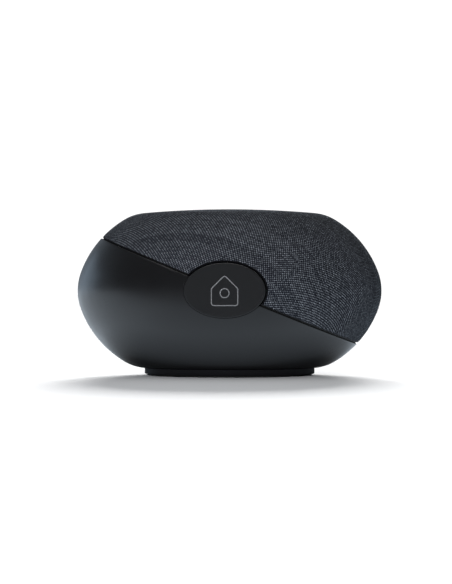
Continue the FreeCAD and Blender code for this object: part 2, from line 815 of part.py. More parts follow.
def shield_can():
    """The tin can over the processor, with a raised rim."""
    low, high = (-5.0, -24.0), (23.0, 4.0)
    can = block((low[0], low[1], dim.board_top), (high[0], high[1], dim.board_top + 2.4))
    tin = 0.3
    inside = block(
        (low[0] + tin, low[1] + tin, dim.board_top - 1),
        (high[0] - tin, high[1] - tin, dim.board_top + 2.4 - tin),
    )
    piece(cut(can, inside), "shield_can")


def heat_spreader():
    """A ribbed aluminium plate on top of the shield can."""
    left, front, top, side, pitch = -2.0, -21.0, dim.board_top + 2.4, 22.0, 4.2
    plate = block((left, front, top), (left + side, front + side, top + 1.0))
    ribs = [
        block((start, front, top + 0.5), (start + 1.2, front + side, top + 3.2))
        for start in [left + 1.0 + number * pitch for number in range(5)]
    ]
    piece(fuse(plate, *ribs), "heat_spreader")


def radio_module():
    base = block((-30.0, 4.0, dim.board_top), (-12.0, 27.0, dim.board_top + 0.8))
    can = block((-29.0, 5.0, dim.board_top + 0.8), (-13.0, 20.0, dim.board_top + 2.8))
    piece(fuse(base, can), "radio_module")


def antennas():
    """Two upright board antennas near the front of the main board."""
    plates = [
        block((-31.0, -43.5, dim.board_top), (-11.0, -42.5, 34.0)),
        block((12.0, -43.5, dim.board_top), (28.0, -42.5, 27.0)),
    ]
    group("antennas", plates)


def lead_sockets():
    """Three small lead sockets on the main board."""
    spots = [(-36.0, -8.0), (-36.0, 6.0), (32.0, 12.0)]
    group(
        "lead_sockets",
        [block((x, y - 4.0, dim.board_top), (x + 4.5, y + 4.0, dim.board_top + 4.8)) for x, y in spots],
    )


CELL_X, CELL_HEIGHTS, CELL_RADIUS, CELL_LENGTH = -52.0, (30.0, 49.0), 9.1, 65.0


def battery_cells():
    """Two round cells, each with its raised contact."""
    cells = [
        fuse(
            rod(CELL_RADIUS, (CELL_X, -CELL_LENGTH / 2, z), CELL_LENGTH, ROW, ALONG_Y),
            rod(2.8, (CELL_X, CELL_LENGTH / 2 - 0.5, z), 1.3, ROW, ALONG_Y),
        )
        for z in CELL_HEIGHTS
    ]
    group("battery_cells", cells)


def battery_holder():
    """The cradle round both cells, trimmed to the inside of the shell."""
    half_length = CELL_LENGTH / 2 + 2.6
    cradle = block((CELL_X - 11.4, -half_length, 18.8), (CELL_X + 11.4, half_length, CELL_HEIGHTS[1]))
    spaces = [
        rod(CELL_RADIUS + 0.3, (CELL_X, -CELL_LENGTH / 2 - 0.3, z), CELL_LENGTH + 1.4, ROW, ALONG_Y)
        for z in CELL_HEIGHTS
    ]
    window = block((CELL_X - 20.0, -22.0, 24.0), (CELL_X + 20.0, 22.0, 43.0))
    piece(cut(common(cradle, core(dim.shell_wall + 0.1)), *spaces, window), "battery_holder")


def battery_strap():
    """The clip over the upper cell."""
    middle, width, inner = CELL_HEIGHTS[1], 16.0, CELL_RADIUS + 0.1
    ring = turned(rectangle(inner, -width / 2, inner + 1.2, width / 2), at=(CELL_X, 0, middle), turn=ALONG_Y)
    lower_half = block((CELL_X - 20.0, -20.0, middle - 20.0), (CELL_X + 20.0, 20.0, middle + 0.1))
    piece(cut(ring, lower_half), "battery_strap")


# ---------------------------------------------------------------- baffle and speaker

COLLAR_TOP, FLANGE_TOP, FLANGE_RADIUS = 14.0, 16.0, 37.2
BASKET_BORE = 28.9


def baffle():
    """The plate across the casing under the seam, with a rim inside the grille and a collar that lifts
    the speaker towards it."""
    plate = common(slab(baffle_bottom, 4.0), core(dim.shell_wall + 0.8))
    hollow = common(slab(-dim.baffle_top, 5.0), core(dim.shell_wall + 2.6))
    collar = [
        rod(BASKET_BORE + 2.0, (0, 0, -3.0), COLLAR_TOP + 3.0, SEAM),
        rod(FLANGE_RADIUS, (0, 0, COLLAR_TOP - 1.6), 1.6, SEAM),
    ]
    collar += [rod(dim.boss_radius, (x, y, -3.0), COLLAR_TOP + 3.0, SEAM) for x, y in SPEAKER_SPOTS]
    holes = [rod(hole_radius, (x, y, -6.0), 8.0, SEAM) for x, y in BAFFLE_SPOTS]
    holes += [rod(2.7, (x, y, -dim.baffle_top), 8.0, SEAM) for x, y in BAFFLE_SPOTS]
    holes += [rod(hole_radius, (x, y, 3.0), 15.0, SEAM) for x, y in SPEAKER_SPOTS]
    notch = block((-26.5, -REACH, -REACH), (26.5, -57.5, REACH), CASING)
    piece(
        cut(fuse(cut(plate, hollow), *collar), rod(BASKET_BORE, (0, 0, -9.0), 40.0, SEAM), notch, *holes),
        "baffle",
    )


def seam_body(label, points, arcs=()):
    """A turned sub-part on the speaker's axis."""
    body = new_body(label)
    turn_profile(body, points, arcs)
    place(body, frame=SEAM)
    return body


def speaker_basket():
    """The speaker's frame: a flange, a tapering wall with six windows and a floor on the top plate."""
    body = seam_body(
        "speaker_basket",
        [
            (14.5, 0), (24.0, 0), (24.0, 2.0), (28.4, 13.0), (28.4, 14.4), (FLANGE_RADIUS, 14.4),
            (FLANGE_RADIUS, FLANGE_TOP), (27.2, FLANGE_TOP), (27.2, 13.4), (22.8, 2.6), (20.6, 2.6),
            (20.6, 1.6), (14.5, 1.6),
        ],
    )
    window = new_sketch(body, "YZ_Plane", 15.0)
    draw(window, rectangle(-8.0, 4.2, 8.0, 11.2))
    opening = body.newObject("PartDesign::Pocket", "window")
    opening.Profile = window
    opening.Type = "ThroughAll"
    opening.Reversed = True
    repeat_round(body, [opening], 6)
    holes = new_sketch(body)
    for spot in SPEAKER_SPOTS:
        draw_circle(holes, hole_radius, spot)
    body.Tip = pocket_through(body, holes)


def dome_arc(half_width, rise):
    """The radius of the arc that rises so much from its edge to the axis, and is level there."""
    return (half_width * half_width + rise * rise) / (2 * rise)


def speaker_parts():
    """The gasket, the magnet system, the moving cone and what holds it."""
    seam_body("speaker_gasket", rectangle(BASKET_BORE + 0.3, COLLAR_TOP, 32.4, 14.4))
    seam_body("top_plate", rectangle(13.2, -4.0, 23.0, 0))
    seam_body("magnet", rectangle(14.5, -12.0, 24.0, -4.0))
    seam_body(
        "yoke",
        [(3.0, -15.0), (21.5, -15.0), (22.0, -14.5), (22.0, -12.0), (11.3, -12.0), (11.3, -0.3),
         (11.0, 0), (3.0, 0)],
    )
    seam_body("voice_coil", rectangle(dim.coil_radius, -6.0, dim.coil_radius + 0.5, 7.0))
    neck = dim.coil_radius + 0.5
    seam_body(
        "speaker_cone",
        [(neck, 5.4), (neck + 0.7, 5.4), (dim.cone_radius, 12.6), (dim.cone_radius, 13.4), (neck, 6.8)],
    )
    seam_body(
        "dust_cap",
        [(0, 11.2), (0, 11.7), (neck + 0.9, 7.6), (neck + 0.4, 7.2)],
        {1: (dome_arc(neck + 0.9, 4.1), -1), 3: (dome_arc(neck + 0.4, 4.0), 1)},
    )
    seam_body(
        "surround",
        [(21.6, 13.5), (23.2, 13.5), (26.4, FLANGE_TOP + 0.1), (29.6, FLANGE_TOP + 0.1),
         (29.6, FLANGE_TOP + 0.7), (26.2, FLANGE_TOP + 0.7), (22.6, 14.1), (21.6, 14.1)],
        {1: (2.4, -1), 5: (2.8, 1)},
    )
    seam_body(
        "spider",
        [(12.6, 3.6), (14.6, 3.6), (15.8, 4.6), (17.0, 3.6), (18.2, 4.6), (20.8, 2.8), (22.4, 2.8),
         (22.4, 3.3), (21.0, 3.3), (18.3, 5.1), (17.0, 4.1), (15.8, 5.1), (14.4, 4.1), (12.6, 4.1)],
    )


# ---------------------------------------------------------------- build and write

lower_shell()
upper_skin("grille_cloth", 0, dim.cloth_wall, dim.cloth_key_gap)
grille_frame()
seam_gasket()
base_plinth()
foot_pad()
casing_screws()
front_key()
key_housing()
key_mat()
key_switch_board()
key_ribbon()
port_panel()
pair_button()
pair_switch()
ethernet_jack()
power_jack()
main_board()
shield_can()
heat_spreader()
radio_module()
antennas()
lead_sockets()
battery_cells()
battery_holder()
battery_strap()
baffle()
speaker_basket()
speaker_parts()
doc.recompute()

for thing in doc.Objects:
    if "Invalid" in thing.State or "Error" in thing.State:
        raise RuntimeError(f"{thing.Label} did not rebuild: {thing.State}")
for thing in pieces:
    if thing.Shape.isNull() or not thing.Shape.isValid() or not thing.Shape.Solids:
        raise RuntimeError(f"{thing.Label} is not a valid solid")

os.makedirs("parts", exist_ok=True)
for thing in pieces:
    thing.Shape.exportStep(f"parts/{thing.Label}.step")
print(f"{len(pieces)} sub-parts written")
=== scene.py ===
"""Looks of the smart home hub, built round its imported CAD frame.

Metres, +Z up, the oval key faces -Y. The casing is a body of revolution about Z, cut by the seam plane
through its centre. The cloth above the seam and the shell below it are rebuilt here as fine meshes.
"""

import json
import math

import bpy
import numpy as np
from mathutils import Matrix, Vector


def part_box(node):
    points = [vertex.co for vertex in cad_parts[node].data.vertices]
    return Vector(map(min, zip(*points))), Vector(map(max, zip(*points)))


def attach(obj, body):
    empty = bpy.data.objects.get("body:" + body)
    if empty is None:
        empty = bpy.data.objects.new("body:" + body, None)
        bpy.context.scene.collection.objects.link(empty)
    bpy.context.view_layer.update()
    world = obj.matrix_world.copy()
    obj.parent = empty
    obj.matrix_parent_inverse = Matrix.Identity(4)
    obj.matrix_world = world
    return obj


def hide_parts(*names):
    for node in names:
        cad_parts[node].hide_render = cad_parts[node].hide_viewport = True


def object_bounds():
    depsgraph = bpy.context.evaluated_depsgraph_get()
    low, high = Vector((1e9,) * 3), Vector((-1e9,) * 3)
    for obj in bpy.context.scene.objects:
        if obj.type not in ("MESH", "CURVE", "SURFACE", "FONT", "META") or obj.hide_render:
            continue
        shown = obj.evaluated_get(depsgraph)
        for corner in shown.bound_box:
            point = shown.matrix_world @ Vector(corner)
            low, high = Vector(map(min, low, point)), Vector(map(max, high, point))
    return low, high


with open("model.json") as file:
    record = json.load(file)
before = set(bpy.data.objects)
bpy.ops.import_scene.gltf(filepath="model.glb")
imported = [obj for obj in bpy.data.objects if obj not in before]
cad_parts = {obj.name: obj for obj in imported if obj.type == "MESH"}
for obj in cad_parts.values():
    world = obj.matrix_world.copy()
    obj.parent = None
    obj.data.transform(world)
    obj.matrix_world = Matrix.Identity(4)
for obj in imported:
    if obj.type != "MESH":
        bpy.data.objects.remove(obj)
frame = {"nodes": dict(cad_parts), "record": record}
cad_low, cad_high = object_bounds()

MM = 0.001
scene = bpy.context.scene

# casing outline: a quarter of it is four tangent arcs
BODY_RADIUS = cad_high.x
CENTRE = np.array([0.0, 0.0, 47.4 * MM])
SIDE_ARC, SHOULDER_ARC, RIM_ARC, DOME_ARC = 30 * MM, 57 * MM, 24 * MM, 540 * MM
SIDE_END, SHOULDER_END = math.radians(20), math.radians(59.5)

SEAM_TILT = math.radians(22.5)
SEAM_NORMAL = np.array([math.sin(SEAM_TILT), 0.0, math.cos(SEAM_TILT)])
SEAM_RIGHT = np.array([math.cos(SEAM_TILT), 0.0, -math.sin(SEAM_TILT)])
BACK = np.array([0.0, 1.0, 0.0])
SEAM_HALF_GAP = 0.45 * MM

# the key's oval, flat face behind its raised line, rounded edge, walls and skirt, and the gaps round it
KEY_HALF = (21.7 * MM, 14.6 * MM)
KEY_LINE_RISE = 0.3 * MM
KEY_FACE_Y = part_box("front_key")[0].y + KEY_LINE_RISE
KEY_EDGE, KEY_WALL, KEY_FRONT = 0.4 * MM, 1.6 * MM, 2.0 * MM
KEY_SKIRT_BACK = -72 * MM
SHELL_KEY_GAP, CLOTH_KEY_GAP = 0.14 * MM, 1.1 * MM

# the port bay's opening: its gap round the panel, its corners, and the panel's screw ears behind the shell
BAY_MARGIN, BAY_CORNER = 0.15 * MM, 1.0 * MM
BAY_EAR = 7.6 * MM

# the shell starts at a share of the way from the middle of the underside to the seam
SHELL_WALL, SHELL_EDGE = 2.6 * MM, 0.3 * MM
SHELL_FIRST_ROW = 0.12

# the cloth's rolled edge, how far its hem goes in, the distance between threads, the weave's relief, how far
# its highest points lie below the casing's surface, and the way the warp runs from the seam's pole
CLOTH_EDGE, CLOTH_TUCK = 0.45 * MM, 2.4 * MM
THREAD_PITCH = 0.88 * MM
WEAVE_DEPTH = 0.25 * MM
CLOTH_SINK = 0.02 * MM
FIRST_THREAD = math.radians(-105)


# ---------------------------------------------------------------- camera, light and floor

CAMERA_DISTANCE = 1.55
CAMERA_TURN = math.radians(1.86)
LENS = 170.6
LENS_SHIFT = (-0.0062, -0.0026)


def add_camera():
    data = bpy.data.cameras.new("camera")
    camera = bpy.data.objects.new("camera", data)
    scene.collection.objects.link(camera)
    data.sensor_width = 36
    data.lens = LENS
    data.shift_x, data.shift_y = LENS_SHIFT
    data.clip_start, data.clip_end = 0.05, 50
    away = Vector((math.sin(CAMERA_TURN), -math.cos(CAMERA_TURN), 0))
    camera.location = Vector(CENTRE) + away * CAMERA_DISTANCE
    camera.rotation_euler = (-away).to_track_quat("-Z", "Y").to_euler()
    scene.camera = camera


def area_light(name, at, size, power, colour=(1, 1, 1), mirrored=True, lights=True):
    """A softbox aimed at the object. It shows in reflections if mirrored, and lights if lights."""
    data = bpy.data.lights.new(name, "AREA")
    data.shape = "RECTANGLE"
    data.size, data.size_y = size
    data.energy = power
    data.color = colour
    light = bpy.data.objects.new(name, data)
    scene.collection.objects.link(light)
    light.location = at
    light.rotation_euler = (Vector(CENTRE) - Vector(at)).to_track_quat("-Z", "Y").to_euler()
    light.visible_glossy, light.visible_diffuse = mirrored, lights


def sky_light(name, azimuth, elevation, spread, strength):
    """An even far light, at an azimuth from +Y. It lights the floor to the horizon and isn't mirrored."""
    data = bpy.data.lights.new(name, "SUN")
    data.energy = strength
    data.angle = math.radians(spread)
    light = bpy.data.objects.new(name, data)
    scene.collection.objects.link(light)
    turn, rise = math.radians(azimuth), math.radians(elevation)
    source = Vector((math.sin(turn) * math.cos(rise), math.cos(turn) * math.cos(rise), math.sin(rise)))
    light.rotation_euler = source.to_track_quat("Z", "Y").to_euler()
    light.visible_glossy = False


def add_lights():
    sky_light("back_sky", 0, 16, 20, 9.5)
    sky_light("overhead_sky", 0, 90, 120, 0.6)
    area_light("front", (-0.3, -1.9, 0.25), (0.7, 0.4), 46, (0.95, 0.97, 1.0), mirrored=False)
    area_light("left_strip", (-1.3, 1.25, 0.3), (1.0, 0.6), 1.4, (0.62, 0.8, 1.0))
    area_light("top_line", (0.0, 0.1, 1.2), (1.0, 0.06), 8.0, lights=False)


def add_world():
    """A white studio. The camera sees plain white. The object sees a bright horizon behind it, and a dark
    room in front and above.
    """
    world = bpy.data.worlds.new("studio")
    scene.world = world
    world.use_nodes = True
    tree = world.node_tree
    tree.nodes.clear()
    output = tree.nodes.new("ShaderNodeOutputWorld")
    mix = tree.nodes.new("ShaderNodeMixShader")
    seen = tree.nodes.new("ShaderNodeBackground")
    seen.inputs["Color"].default_value = (1, 1, 1, 1)
    seen.inputs["Strength"].default_value = 1.1
    lit = tree.nodes.new("ShaderNodeBackground")
    place = tree.nodes.new("ShaderNodeTexCoord")
    split = tree.nodes.new("ShaderNodeSeparateXYZ")
    tree.links.new(place.outputs["Generated"], split.inputs[0])
    behind = spread_socket(tree, split.outputs["Y"], 0.02, 0.4, -0.1, 0.85)
    low = spread_socket(tree, split.outputs["Z"], 1.0, 0.25, 0.1, 0.6)
    tree.links.new(math_node(tree, "MULTIPLY", behind, low), lit.inputs["Strength"])
    lit.inputs["Color"].default_value = (0.75, 0.87, 1.0, 1)
    path = tree.nodes.new("ShaderNodeLightPath")
    tree.links.new(path.outputs["Is Camera Ray"], mix.inputs[0])
    tree.links.new(lit.outputs[0], mix.inputs[1])
    tree.links.new(seen.outputs[0], mix.inputs[2])
    tree.links.new(mix.outputs[0], output.inputs[0])


def add_floor():
    """A wide white floor under the white studio."""
    reach = 30.0
    corners = [(-reach, -reach, 0), (reach, -reach, 0), (reach, reach, 0), (-reach, reach, 0)]
    floor = new_mesh("floor", corners, [(0, 1, 2, 3)])
    floor.data.materials.append(floor_white_with_painted_glow())


# ---------------------------------------------------------------- materials

PATCH_SCALE = 60.0


def new_material(name):
    """A material, its node tree and its shader."""
    material = bpy.data.materials.new(name)
    material.use_nodes = True
    tree = material.node_tree
    return material, tree, tree.nodes["Principled BSDF"]


def floor_white_with_painted_glow():
    """The floor: matt white to the camera, and to other rays a painted glow round the foot, seen in the
    casing's gloss.
    """
    material, tree, shader = new_material("floor_white_with_painted_glow")
    place = tree.nodes.new("ShaderNodeTexCoord")
    split = tree.nodes.new("ShaderNodeSeparateXYZ")
    tree.links.new(place.outputs["Object"], split.inputs[0])
    narrowed = math_node(tree, "MULTIPLY", split.outputs["X"], 0.8)
    squares = [math_node(tree, "POWER", socket, 2.0) for socket in (narrowed, split.outputs["Y"])]
    radius = math_node(tree, "SQRT", math_node(tree, "ADD", *squares))
    # painted shade: no glow under and close round the foot, and a dimmer glow in front of the object
    out_of_shade = spread_socket(tree, radius, 0.0, 1.0, 0.05, 0.085)
    towards_back = spread_socket(tree, split.outputs["Y"], 0.12, 1.0, -0.22, -0.07)
    painted_glow = math_node(tree, "MULTIPLY", out_of_shade, towards_back)
    tree.links.new(painted_glow, shader.inputs["Emission Strength"])
    shader.inputs["Base Color"].default_value = (0.1, 0.104, 0.108, 1)
    shader.inputs["Roughness"].default_value = 0.9
    shader.inputs["Specular IOR Level"].default_value = 0.0
    shader.inputs["Emission Color"].default_value = (0.78, 0.89, 1.0, 1)
    matt = tree.nodes.new("ShaderNodeBsdfDiffuse")
    matt.inputs["Color"].default_value = (0.98, 0.98, 0.98, 1)
    path = tree.nodes.new("ShaderNodeLightPath")
    mix = tree.nodes.new("ShaderNodeMixShader")
    tree.links.new(path.outputs["Is Camera Ray"], mix.inputs[0])
    tree.links.new(shader.outputs[0], mix.inputs[1])
    tree.links.new(matt.outputs[0], mix.inputs[2])
    tree.links.new(mix.outputs[0], tree.nodes["Material Output"].inputs["Surface"])
    return material


def math_node(tree, operation, *values):
    """A math node of numbers or sockets. Gives its output socket."""
    node = tree.nodes.new("ShaderNodeMath")
    node.operation = operation
    for number, value in enumerate(values):
        if isinstance(value, (int, float)):
            node.inputs[number].default_value = value
        else:
            tree.links.new(value, node.inputs[number])
    return node.outputs[0]


def noise_socket(tree, scale, detail, stretch=(1, 1, 1)):
    """A noise on the object's own coordinates."""
    place = tree.nodes.new("ShaderNodeTexCoord")
    turn = tree.nodes.new("ShaderNodeMapping")
    turn.inputs["Scale"].default_value = stretch
    noise = tree.nodes.new("ShaderNodeTexNoise")
    noise.inputs["Scale"].default_value = scale
    noise.inputs["Detail"].default_value = detail
    tree.links.new(place.outputs["Object"], turn.inputs[0])
    tree.links.new(turn.outputs[0], noise.inputs["Vector"])
    return noise.outputs["Fac"]


def spread_socket(tree, socket, low, high, start=0.3, end=0.7):
    """Maps a range of a value, by default the middle of a noise, to another range."""
    node = tree.nodes.new("ShaderNodeMapRange")
    node.inputs["From Min"].default_value = start
    node.inputs["From Max"].default_value = end
    node.inputs["To Min"].default_value = low
    node.inputs["To Max"].default_value = high
    tree.links.new(socket, node.inputs["Value"])
    return node.outputs[0]


def mix_colours(tree, factor, first, second):
    """Goes from the first colour to the second as the factor goes from 0 to 1."""
    node = tree.nodes.new("ShaderNodeMix")
    node.data_type = "RGBA"
    for socket, value in ((node.inputs[6], first), (node.inputs[7], second)):
        if isinstance(value, (tuple, list)):
            socket.default_value = (*value, 1)
        else:
            tree.links.new(value, socket)
    tree.links.new(factor, node.inputs[0])
    return node.outputs[2]


def bump_from(tree, shader, height, depth):
    """Shades a surface as if its height, 0 to 1, stood depth metres out."""
    bump = tree.nodes.new("ShaderNodeBump")
    bump.inputs["Strength"].default_value = 1.0
    bump.inputs["Distance"].default_value = depth
    tree.links.new(height, bump.inputs["Height"])
    tree.links.new(bump.outputs[0], shader.inputs["Normal"])


def surface(name, colour, second, roughness, grain=1800.0, depth=0.01 * MM, metallic=0.0, coat=0.0,
            stretch=(1, 1, 1)):
    """A solid finish: two close colours in soft patches, uneven roughness and a fine grain."""
    material, tree, shader = new_material(name)
    patches = noise_socket(tree, PATCH_SCALE, 4.0)
    fine = noise_socket(tree, grain, 2.0, stretch)
    tree.links.new(mix_colours(tree, patches, colour, second), shader.inputs["Base Color"])
    rough = math_node(
        tree, "ADD", spread_socket(tree, patches, roughness[0], roughness[1]),
        spread_socket(tree, fine, -0.03, 0.03),
    )
    tree.links.new(rough, shader.inputs["Roughness"])
    shader.inputs["Metallic"].default_value = metallic
    shader.inputs["Coat Weight"].default_value = coat
    bump_from(tree, shader, fine, depth)
    return material


def cloth_material():
    """A plain weave of light melange warp and dark navy weft, on the sheet's own thread coordinates, with
    painted shade.
    """
    material, tree, shader = new_material("melange_weave")
    threads = tree.nodes.new("ShaderNodeAttribute")
    threads.attribute_name = "thread"
    split = tree.nodes.new("ShaderNodeSeparateXYZ")
    tree.links.new(threads.outputs["Vector"], split.inputs[0])
    across, along = split.outputs["X"], split.outputs["Y"]
    column, row = math_node(tree, "FLOOR", across), math_node(tree, "FLOOR", along)
    crossing = math_node(tree, "ADD", math_node(tree, "ADD", column, row), 1.0)
    warp_up = math_node(tree, "PINGPONG", crossing, 1.0)
    from_warp = math_node(tree, "SUBTRACT", math_node(tree, "FRACT", across), 0.5)
    from_weft = math_node(tree, "SUBTRACT", math_node(tree, "FRACT", along), 0.5)

    def chosen(if_warp, if_weft):
        node = tree.nodes.new("ShaderNodeMix")
        for number, value in ((0, warp_up), (2, if_weft), (3, if_warp)):
            tree.links.new(value, node.inputs[number])
        return node.outputs[0]

    side = chosen(from_warp, from_weft)
    length = chosen(from_weft, from_warp)
    round_side = math_node(tree, "COSINE", math_node(tree, "MULTIPLY", side, 3.0))
    round_length = math_node(tree, "COSINE", math_node(tree, "MULTIPLY", length, 2.3))
    knuckle = math_node(tree, "MULTIPLY", round_side, round_length)

    where = tree.nodes.new("ShaderNodeCombineXYZ")
    for socket, value in zip(where.inputs, (column, row, warp_up)):
        tree.links.new(value, socket)
    chance = tree.nodes.new("ShaderNodeTexWhiteNoise")
    tree.links.new(where.outputs[0], chance.inputs["Vector"])
    yarn = tree.nodes.new("ShaderNodeCombineXYZ")
    tree.links.new(chosen(column, row), yarn.inputs[0])
    tree.links.new(warp_up, yarn.inputs[1])
    yarn_chance = tree.nodes.new("ShaderNodeTexWhiteNoise")
    tree.links.new(yarn.outputs[0], yarn_chance.inputs["Vector"])

    fibres = tree.nodes.new("ShaderNodeTexNoise")
    fibres.inputs["Scale"].default_value = 9.0
    fibres.inputs["Detail"].default_value = 3.0
    tree.links.new(threads.outputs["Vector"], fibres.inputs["Vector"])
    yarn_shade = math_node(tree, "MULTIPLY_ADD", yarn_chance.outputs["Value"], 0.3, 0.15)
    shade = math_node(tree, "MULTIPLY_ADD", chance.outputs["Value"], 0.55, yarn_shade)
    light_shade = math_node(tree, "POWER", shade, 1.3)
    light = mix_colours(tree, light_shade, (0.020, 0.023, 0.030), (0.215, 0.232, 0.258))
    dark = mix_colours(tree, shade, (0.0025, 0.003, 0.006), (0.011, 0.013, 0.021))
    yarns = mix_colours(tree, warp_up, dark, light)
    # painted shade: each yarn darkens from its crown towards its sides and ends, to near black in the gaps
    # between yarns
    depth = math_node(tree, "POWER", math_node(tree, "MAXIMUM", knuckle, 0.0), 0.8)
    shown = mix_colours(tree, depth, (0.002, 0.002, 0.003), yarns)
    # painted shade: the rolled hem, 1 in the thread attribute's Z, goes near black as if shaded in its gap
    with_painted_hem_shade = mix_colours(tree, split.outputs["Z"], shown, (0.003, 0.003, 0.004))
    tree.links.new(with_painted_hem_shade, shader.inputs["Base Color"])
    tree.links.new(spread_socket(tree, fibres.outputs["Fac"], 0.7, 0.9), shader.inputs["Roughness"])
    shader.inputs["Specular IOR Level"].default_value = 0.15
    height = math_node(tree, "MULTIPLY_ADD", fibres.outputs["Fac"], 0.25, knuckle)
    bump_from(tree, shader, height, 0.2 * MM)
    return material


def socket_material():
    """The network socket: a tin shield, black inside its cavity, with gold contacts at the top of it."""
    material = surface(
        "network_socket", (0.42, 0.42, 0.41), (0.5, 0.5, 0.48), (0.3, 0.42), 700.0, 0.004 * MM, 1.0
    )
    tree = material.node_tree
    shader = tree.nodes["Principled BSDF"]
    openings = {opening["name"]: opening["box_m"] for opening in frame["record"]["physics"]["openings"]}
    low, high = (Vector(corner) for corner in openings["network_socket_cavity"])
    slack, latch_drop, contact_depth, rim = 0.25 * MM, 1.8 * MM, 0.85 * MM, 0.05 * MM
    place = tree.nodes.new("ShaderNodeTexCoord")
    split = tree.nodes.new("ShaderNodeSeparateXYZ")
    tree.links.new(place.outputs["Object"], split.inputs[0])
    x, y, z = (split.outputs[name] for name in "XYZ")
    middle, half = (low.x + high.x) / 2, (high.x - low.x) / 2 + slack
    off_middle = math_node(tree, "ABSOLUTE", math_node(tree, "SUBTRACT", x, middle))
    within = math_node(tree, "LESS_THAN", off_middle, half)
    for limit in (
        math_node(tree, "GREATER_THAN", z, low.z - latch_drop),
        math_node(tree, "LESS_THAN", z, high.z + slack),
        math_node(tree, "LESS_THAN", y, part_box("ethernet_jack")[1].y - rim),
    ):
        within = math_node(tree, "MULTIPLY", within, limit)
    contact = math_node(
        tree, "MULTIPLY", math_node(tree, "GREATER_THAN", z, high.z - contact_depth),
        math_node(tree, "LESS_THAN", z, high.z + 2 * rim),
    )
    tin = shader.inputs["Base Color"].links[0].from_socket
    inside = mix_colours(tree, contact, (0.012, 0.012, 0.013), (0.75, 0.52, 0.2))
    tree.links.new(mix_colours(tree, within, tin, inside), shader.inputs["Base Color"])
    plastic = math_node(tree, "MULTIPLY", within, math_node(tree, "SUBTRACT", 1.0, contact))
    tree.links.new(math_node(tree, "SUBTRACT", 1.0, plastic), shader.inputs["Metallic"])
    return material


# ---------------------------------------------------------------- mesh building


def new_mesh(name, points, faces):
    """A smooth-shaded mesh object in the scene."""
    mesh = bpy.data.meshes.new(name)
    mesh.from_pydata([tuple(p) for p in points], [], faces)
    mesh.update()
    mesh.polygons.foreach_set("use_smooth", [True] * len(mesh.polygons))
    piece = bpy.data.objects.new(name, mesh)
    scene.collection.objects.link(piece)
    return piece


def outline_samples(count=1500):
    """The casing's quarter outline, from its widest point to the top: radius, height, normal's angle and
    length so far, each an array.
    """
    middle = np.array([BODY_RADIUS - SIDE_ARC, 0.0])
    shoulder = middle + (SIDE_ARC - SHOULDER_ARC) * unit(SIDE_END)
    rim = shoulder + (SHOULDER_ARC - RIM_ARC) * unit(SHOULDER_END)
    rim_end = math.acos(rim[0] / (DOME_ARC - RIM_ARC))
    dome = rim + (RIM_ARC - DOME_ARC) * unit(rim_end)
    arcs = [
        (middle, SIDE_ARC, 0.0, SIDE_END), (shoulder, SHOULDER_ARC, SIDE_END, SHOULDER_END),
        (rim, RIM_ARC, SHOULDER_END, rim_end), (dome, DOME_ARC, rim_end, math.pi / 2),
    ]
    points, angles = [], []
    for centre, radius, start, end in arcs:
        turn = np.linspace(start, end, count)
        points.append(centre + radius * np.stack([np.cos(turn), np.sin(turn)], 1))
        angles.append(turn)
    points, angles = np.concatenate(points), np.concatenate(angles)
    points[-1, 0] = 0.0
    steps = np.hypot(*np.diff(points, axis=0).T)
    return points[:, 0], points[:, 1], angles, np.concatenate([[0.0], np.cumsum(steps)])


def unit(angle):
    """A direction in a plane."""
    return np.array([math.cos(angle), math.sin(angle)])


OUTLINE_R, OUTLINE_Z, OUTLINE_NORMAL, OUTLINE_LENGTH = outline_samples()
OUTLINE_RISE = np.arctan2(OUTLINE_Z, OUTLINE_R)
OUTLINE_FAR = np.hypot(OUTLINE_R, OUTLINE_Z)


def on_casing(ways):
    """Where directions from the casing's centre meet its surface: points about the centre, and normals."""
    ways = ways / np.linalg.norm(ways, axis=-1, keepdims=True)
    rise = np.arcsin(np.clip(np.abs(ways[..., 2]), 0, 1))
    far = np.interp(rise, OUTLINE_RISE, OUTLINE_FAR)
    lean = np.interp(rise, OUTLINE_RISE, OUTLINE_NORMAL)
    flat = ways[..., :2] / np.maximum(np.hypot(ways[..., 0], ways[..., 1]), 1e-9)[..., None]
    normals = np.concatenate(
        [flat * np.cos(lean)[..., None], (np.sign(ways[..., 2]) * np.sin(lean))[..., None]], -1
    )
    return ways * far[..., None], normals


def oval_distance(points, gap):
    """Roughly how far points at the front are outside the key's oval, grown by gap."""
    half_x, half_z = KEY_HALF[0] + gap, KEY_HALF[1] + gap
    scale = np.hypot(points[:, 0] / half_x, points[:, 2] / half_z)
    slope = np.hypot(points[:, 0] / half_x**2, points[:, 2] / half_z**2) / np.maximum(scale, 1e-6)
    return np.where(points[:, 1] < 0, (scale - 1) / np.maximum(slope, 1e-6), 1.0)


